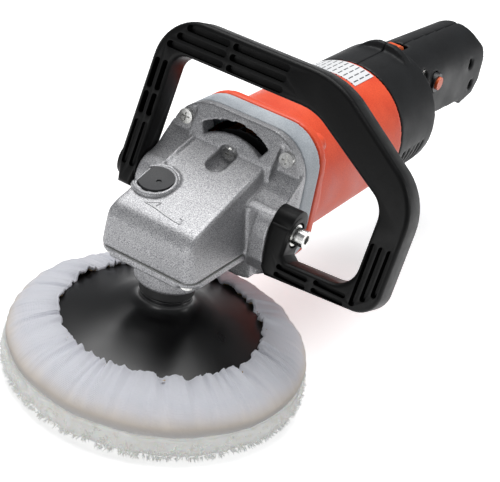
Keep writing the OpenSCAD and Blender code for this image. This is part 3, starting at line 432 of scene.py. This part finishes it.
# A low ridge runs down the sloping top behind the lock button.
RIDGE_AT, RIDGE_SIZE = Vector((-0.0268, 0.0300, 0.1366)), (0.0024, 0.0360, 0.0032, 1)
SLOPE = radians(15.2)
LOCK_AT = Vector((-0.020, 0, 0.1220))
bm = bmesh.new()
bmesh.ops.create_cube(bm, size=1, matrix=Matrix.Translation(RIDGE_AT) @ Matrix.Rotation(SLOPE, 4, "X")
                      @ Matrix.Diagonal(RIDGE_SIZE))
ridge = bpy.data.meshes.new("ridge")
bm.to_mesh(ridge)
bm.free()


def broad_edge(point):
    """The block's own top, front and side edges, away from its screws, ridge and joint."""
    past_seat = (point.xy - LOCK_AT.xy).length > 0.0175
    return point.y < 0.027 and point.z > 0.0945 and abs(point.x) < 0.0355 and past_seat


mould_rounded("gear_head_casting", "gear_housing", casting, "machine", 0.0009, 3, 0.6,
              (ridge,), broad_edge)
# The lock button sits in a thin machined rim that stands up from the slope.
RIM_PROFILE = ((0.01215, -0.004), (0.01215, 0.0002), (0.0126, 0.0009), (0.0134, 0.0010), (0.0142, 0.0006),
               (0.0147, -0.0002), (0.0150, -0.004), (0.01215, -0.004))
bm = turned(RIM_PROFILE, 96)
bmesh.ops.transform(bm, verts=bm.verts, matrix=(
    Matrix.Translation(LOCK_AT) @ Matrix.Rotation(SLOPE, 4, "X") @ Matrix.Translation((0, 0, 0.0080))))
bmesh.ops.bisect_plane(bm, geom=bm.verts[:] + bm.edges[:] + bm.faces[:], plane_co=(-0.0298, 0, 0),
                       plane_no=(1, 0, 0), clear_inner=True)
bmesh.ops.holes_fill(bm, edges=[e for e in bm.edges if e.is_boundary])
bmesh.ops.recalc_face_normals(bm, faces=bm.faces)
piece("lock_button_rim", bm, casting, "machine")
mould_rounded("bearing_cover_casting", "bearing_cover", casting, "machine", 0.0007, 2, 0.8)

# The turning arrow is cast in low relief on the sloping top.
bm = bmesh.new()
BEAD_RADIUS = 0.00048
top_place = Matrix.Translation((0, -0.0300, 0.1203)) @ Matrix.Rotation(SLOPE, 4, "X")
bar = [bm.verts.new((-0.0140 + 0.0290 * i / 12, 0.0112 - 0.0038 * sin(pi * i / 24) ** 2, 0))
       for i in range(13)]
head = [bar[0], bm.verts.new((-0.0052, 0.0168, 0)), bm.verts.new((-0.0062, 0.0120, 0))]
heel = [bar[-1], bm.verts.new((0.0140, 0.0112, 0)), bm.verts.new((0.0118, 0.0118, 0))]
for path in (bar, head, heel):
    for pair in zip(path, path[1:]):
        bm.edges.new(pair)
bmesh.ops.transform(bm, verts=bm.verts, matrix=top_place)
arrow = piece("rotation_arrow_relief", bm, casting, "machine")
bead = arrow.modifiers.new("bead", "SKIN")
for vert in arrow.data.skin_vertices[0].data:
    vert.radius = (BEAD_RADIUS, BEAD_RADIUS)
rounder = arrow.modifiers.new("bead round", "SUBSURF")
rounder.levels = rounder.render_levels = 1

# ---- Loop handle: glass-filled nylon moulding that turns on two bolts ----
# A flat loop that leans back, with rows of blind pockets in its front face.
PIVOT, LEAN = Vector((0, 0.033, 0.1155)), radians(18)
in_handle = Matrix.Translation(PIVOT) @ Matrix.Rotation(pi / 2 - LEAN, 4, "X")
FRONT, DEPTH, POCKET, CORNER = 0.012, 0.021, 0.0062, 0.0032


def bow(x, s, r, start, stop, steps):
    """Points in millimetres along an arc in the handle's plane."""
    angles = [radians(start + (stop - start) * i / steps) for i in range(steps + 1)]
    return [(x + r * cos(a), s + r * sin(a)) for a in angles]


outside = ([(-60.5, -14.5), (-64.5, 2)] + bow(-35.5, 70, 29, 180, 90, 12) + bow(42, 39, 60, 90, 60, 6)
           + bow(92, 30, 40, 60, 0, 10) + bow(117, -10, 15, 0, -85, 10))
boss = [(57, -28.5), (53, -24.5), (50.25, -8.5), (50.25, 5), (64.5, 5), (64.5, -12.5), (68.5, -15.5)]
inside = (bow(98.5, 0, 14, -88, 0, 8) + bow(96.5, 30.5, 16, 0, 57, 8) + bow(42, 39, 36.5, 57, 90, 6)
          + bow(-40.25, 65.5, 10, 90, 180, 7) + [(-50.25, -14.5)])
bm = bmesh.new()
rim = [bm.verts.new((x * MM, s * MM, FRONT - DEPTH)) for x, s in outside + boss + inside]
back = bm.faces.new(rim)
front = bmesh.ops.extrude_face_region(bm, geom=[back])["geom"]
front_verts = [g for g in front if isinstance(g, bmesh.types.BMVert)]
bmesh.ops.translate(bm, verts=front_verts, vec=(0, 0, DEPTH))
bmesh.ops.recalc_face_normals(bm, faces=bm.faces)
edges = [e for e in bm.edges if abs(e.verts[0].co.z - e.verts[1].co.z) < 1e-6]
bmesh.ops.bevel(bm, geom=edges, offset=CORNER, segments=4, profile=0.5, affect="EDGES", material=-1,
                clamp_overlap=True)
# A barrel round each bolt, and a second one that fills out the right-hand boss.
for x, s_mid, w_mid, radius, wide in ((-0.0644, 0, 0, 0.0116, 0.01405), (0.05035, 0, 0, 0.0116, 0.01405),
                                      (0.05055, 0.005, 0.0004, 0.0105, 0.01355)):
    barrel_place = Matrix.Translation((x + wide / 2, s_mid, w_mid)) @ Matrix.Rotation(pi / 2, 4, "Y")
    bmesh.ops.create_cone(bm, cap_ends=True, segments=48, radius1=radius, radius2=radius, depth=wide,
                          matrix=barrel_place)
bmesh.ops.transform(bm, verts=bm.verts, matrix=in_handle)

cutters = bmesh.new()


def pocket(x, s, wide, high, deep=POCKET):
    """Adds one round-ended pocket to the handle's cutters, its outline in millimetres."""
    middle_place = Matrix.Translation((x * MM, s * MM, FRONT - deep + 0.01))
    made = bmesh.ops.create_cube(cutters, size=1, matrix=middle_place
                                 @ Matrix.Diagonal((wide * MM, high * MM, 0.02, 1)))["verts"]
    upright_edges = {e for v in made for e in v.link_edges if abs(e.verts[0].co.z - e.verts[1].co.z) > 0.01}
    bmesh.ops.bevel(cutters, geom=list(upright_edges), offset=(min(wide, high) / 2 - 0.1) * MM, segments=6,
                    profile=0.5, affect="EDGES", material=-1)


for s_mid, tall, deep in ((13, 30, 0.0036), (39.5, 15, POCKET), (59, 20, POCKET)):
    for column in range(2):
        pocket(-59.6 + 6 * column, s_mid, 3.8, tall, deep)
for row in range(3):
    pocket(-36 + 2.6 * row, 79.4 + 6.8 * row, 42 - 5 * row, 4.4)
    pocket(8, 79.4 + 6.8 * row, 41, 4.4)
for column in range(2):
    for row in range(2):
        pocket(74.5 + 26 * column, -24.3 + column + 5 * row, 22, 3.2)
for column in range(3):
    pocket(116.5 + 5.6 * column, -2 + 2.5 * column, 3.6, 40 - 5 * column)
# The bolt's hole and the seat of its head, on the left and on the right.
for side, seat_radius, seat in ((-1, 0.0074, 0.0553), (1, 0.0086, 0.0625)):
    turn_out = Matrix.Rotation(side * pi / 2, 4, "Y")
    for radius, near, far in ((0.00405, 0.045, 0.075), (seat_radius, seat, 0.08)):
        cutter_place = turn_out @ Matrix.Translation((0, 0, (near + far) / 2))
        bmesh.ops.create_cone(cutters, cap_ends=True, segments=48, radius1=radius, radius2=radius,
                              depth=far - near, matrix=cutter_place)
bmesh.ops.transform(cutters, verts=cutters.verts, matrix=in_handle)
cutter_mesh = bpy.data.meshes.new("handle_cutters")
cutters.to_mesh(cutter_mesh)
cutters.free()
cutter = bpy.data.objects.new("handle_cutters", cutter_mesh)

handle_nylon, handle_shader = new_material("glass_filled_nylon", "050505", 0.42)
handle_shader.inputs["Specular IOR Level"].default_value = 0.2
place = add(handle_nylon, "ShaderNodeTexCoord").outputs["Object"]
flow = add(handle_nylon, "ShaderNodeTexNoise", {"Vector": place, "Scale": 160, "Detail": 4})
handle_nylon.node_tree.links.new(add(handle_nylon, "ShaderNodeMapRange", {
    "Value": flow.outputs["Fac"], "To Min": 0.32, "To Max": 0.54}).outputs["Result"],
    handle_shader.inputs["Roughness"])
texture = add(handle_nylon, "ShaderNodeTexNoise", {"Vector": place, "Scale": 1100, "Detail": 2})
handle_nylon.node_tree.links.new(add(handle_nylon, "ShaderNodeBump", {
    "Height": texture.outputs["Fac"], "Distance": 0.0002, "Strength": 0.25}).outputs["Normal"],
    handle_shader.inputs["Normal"])
handle = piece("loop_handle_moulding", bm, handle_nylon, "handle_group", smooth=False)
bpy.context.scene.collection.objects.link(cutter)
cut = handle.modifiers.new("pockets", "BOOLEAN")
cut.operation, cut.solver, cut.object, cut.use_self = "DIFFERENCE", "EXACT", cutter, True
graph = bpy.context.evaluated_depsgraph_get()
cut_mesh = bpy.data.meshes.new_from_object(handle.evaluated_get(graph))
handle.modifiers.clear()
handle.data = cut_mesh
handle.data.shade_smooth()
bpy.data.objects.remove(cutter)
softened = handle.modifiers.new("softened edges", "BEVEL")
softened.width, softened.segments, softened.limit_method = 0.00045, 2, "ANGLE"
softened.angle_limit = radians(38)
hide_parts("loop_handle")

# ---- Air ring and motor housing: glass-filled nylon mouldings behind the gear head ----
# The pale ring spaces the fan, and the orange housing holds the motor. Both
# have a fine spark-eroded texture that scatters the light.


def finish(name, dark, light, roughness, metallic=0.0, grain=0.0008, depth=0.0001, spread=0.08):
    """A surface with a fine grain in its colour, its gloss and its relief. grain is in metres."""
    made, shader = new_material(name, light, roughness, metallic)
    spot = add(made, "ShaderNodeTexCoord").outputs["Object"]
    speck = add(made, "ShaderNodeTexNoise", {"Vector": spot, "Scale": 1 / grain, "Detail": 2})
    cloud = add(made, "ShaderNodeTexNoise", {"Vector": spot, "Scale": 45, "Detail": 3})
    mixed = add(made, "ShaderNodeMath", {0: speck.outputs["Fac"], 1: cloud.outputs["Fac"]}, operation="ADD")
    tint = add(made, "ShaderNodeValToRGB", {"Fac": add(made, "ShaderNodeMath", {
        0: mixed.outputs["Value"], 1: 0.5}, operation="MULTIPLY").outputs["Value"]})
    low, high = tint.color_ramp.elements
    low.position, low.color = 0.38, colour(dark)
    high.position, high.color = 0.62, colour(light)
    gloss = add(made, "ShaderNodeMapRange", {"Value": cloud.outputs["Fac"], "From Min": 0.3, "From Max": 0.7,
                                             "To Min": roughness - spread, "To Max": roughness + spread})
    relief = add(made, "ShaderNodeBump", {"Height": speck.outputs["Fac"], "Distance": depth, "Strength": 0.5})
    made.node_tree.links.new(tint.outputs["Color"], shader.inputs["Base Color"])
    made.node_tree.links.new(gloss.outputs["Result"], shader.inputs["Roughness"])
    made.node_tree.links.new(relief.outputs["Normal"], shader.inputs["Normal"])
    return made


def give(material, names):
    """Gives a material to CAD nodes that keep their own shape."""
    for name in names.split():
        nodes[name].data.materials.clear()
        nodes[name].data.materials.append(material)


pale_nylon = finish("pale_grey_nylon", "A9B1B8", "D2D8DD", 0.45)
mould_rounded("air_ring_moulding", "air_ring", pale_nylon, "machine", 0.0012, 6, 0.5)
orange_nylon = finish("orange_glass_filled_nylon", "EE4B26", "FF5F34", 0.42)
mould_rounded("motor_housing_moulding", "motor_housing", orange_nylon, "machine",
              0.0014, 4, 0.6)

# The rating label is white film, printed with plain bars and no lettering.
film, film_shader = new_material("printed_label_film", "F4F5F6", 0.32)
spot = add(film, "ShaderNodeSeparateXYZ", {"Vector": add(film, "ShaderNodeTexCoord").outputs["Object"]})
BAR_PITCH, LINE_PITCH = 0.0044, 0.0085
stripes = []
for axis, pitch, share in (("X", BAR_PITCH, 0.22), ("Y", LINE_PITCH, 0.75)):
    steps = add(film, "ShaderNodeMath", {0: spot.outputs[axis], 1: pitch}, operation="DIVIDE")
    phase = add(film, "ShaderNodeMath", {0: steps.outputs["Value"]}, operation="FRACT")
    stripes.append(add(film, "ShaderNodeMath", {0: phase.outputs["Value"], 1: share}, operation="LESS_THAN"))
ink = add(film, "ShaderNodeMath", {0: stripes[0].outputs["Value"], 1: stripes[1].outputs["Value"]},
          operation="MULTIPLY")
printed = add(film, "ShaderNodeValToRGB", {"Fac": ink.outputs["Value"]})
low, high = printed.color_ramp.elements
low.color = colour("F4F5F6")
high.color = colour("54565A")
film.node_tree.links.new(printed.outputs["Color"], film_shader.inputs["Base Color"])
give(film, "rating_label")

# ---- Rear handle: two charcoal nylon shells screwed together on the centre plane ----
# The shells are moulded with rounded edges and a fine leathery texture, and
# the joint between them shows as a thin dark line.
shell_nylon = finish("textured_charcoal_nylon", "08090A", "141618", 0.5, grain=0.0009, depth=0.0002)
shell_nylon.node_tree.nodes["Principled BSDF"].inputs["Specular IOR Level"].default_value = 0.3
for side in ("left", "right"):
    mould_rounded(side + "_shell_moulding", side + "_shell", shell_nylon, "machine",
                  0.0012, 5, 0.5)
give(finish("black_moulded_nylon", "0C0D0E", "1A1B1D", 0.4), "trigger switch_body brush_caps lock_on_collar")
give(finish("bright_orange_nylon", "F4511F", "FF7A3C", 0.35, grain=0.0006), "speed_dial lock_on_button")

# ---- Steel parts: turned, hardened, plated or blackened ----
# Bright zinc on the screws, fine lathe marks on the spindle and black oxide on
# the lock button. The seals, bushes and gasket beside them are here too.
turned_steel, steel_shader = new_material("turned_steel", "C4C5C6", 0.28, 1.0)
spot = add(turned_steel, "ShaderNodeTexCoord").outputs["Object"]
# The lathe's feed is 0.1 mm a turn and is drawn at 0.5 mm so that it shows.
marks = add(turned_steel, "ShaderNodeTexWave", {"Vector": spot, "Scale": 320, "Distortion": 1.5, "Detail": 2},
            wave_type="BANDS", bands_direction="Z")
turned_steel.node_tree.links.new(add(turned_steel, "ShaderNodeMapRange", {
    "Value": marks.outputs["Fac"], "To Min": 0.2, "To Max": 0.42}).outputs["Result"],
    steel_shader.inputs["Roughness"])
turned_steel.node_tree.links.new(add(turned_steel, "ShaderNodeBump", {
    "Height": marks.outputs["Fac"], "Distance": 0.00005, "Strength": 0.4}).outputs["Normal"],
    steel_shader.inputs["Normal"])
give(turned_steel, "spindle hub_nut armature_shaft")
give(finish("bright_zinc_plated_steel", "B4B4B0", "E4E4E2", 0.24, 1.0, 0.0015, 0.00002, 0.04),
     "cover_screws flange_screws channel_screw shell_screws handle_bolts bolt_washers bearing_retainer")
give(finish("black_oxide_steel", "18191B", "2C2D30", 0.5, 0.0, 0.0007), "lock_button")
give(finish("black_seal_rubber", "0A0A0A", "161616", 0.6), "dust_ring cord_inlet")
give(finish("ground_bearing_steel", "A9ABAD", "D6D8DA", 0.2, 1.0, 0.0015, 0.00001, 0.04),
     "lower_bearing front_bearing rear_bearing gear_circlip lock_spring trigger_spring")
give(finish("hardened_gear_steel", "6F7073", "97999C", 0.35, 1.0, 0.0009), "crown_gear pinion")
give(finish("sintered_bronze", "9A6F3C", "C3965A", 0.45, 1.0, 0.0006), "top_bush brush_holders")
give(finish("jointing_paper", "8E8F8B", "B4B5B0", 0.9, 0.0, 0.0008), "gasket")

# ---- Motor: wound field and armature, out of sight inside the housing ----
# Stacked steel cores carry varnished copper windings. The fan is moulded
# nylon, the brushes are pressed carbon and the speed module is a circuit board.
give(finish("stacked_laminations", "4E5053", "7C7F83", 0.4, 1.0, 0.0005), "stator_core armature_core")
give(finish("enamelled_copper_wire", "8A4A1F", "C27338", 0.35, 0.6, 0.0009),
     "field_coils armature_windings commutator")
give(finish("black_fan_nylon", "060606", "0E0E0F", 0.6), "fan")
give(finish("pressed_carbon", "1C1C1D", "303032", 0.6), "carbon_brushes")
give(finish("green_circuit_board", "1E5A38", "2F7A50", 0.4), "speed_module")
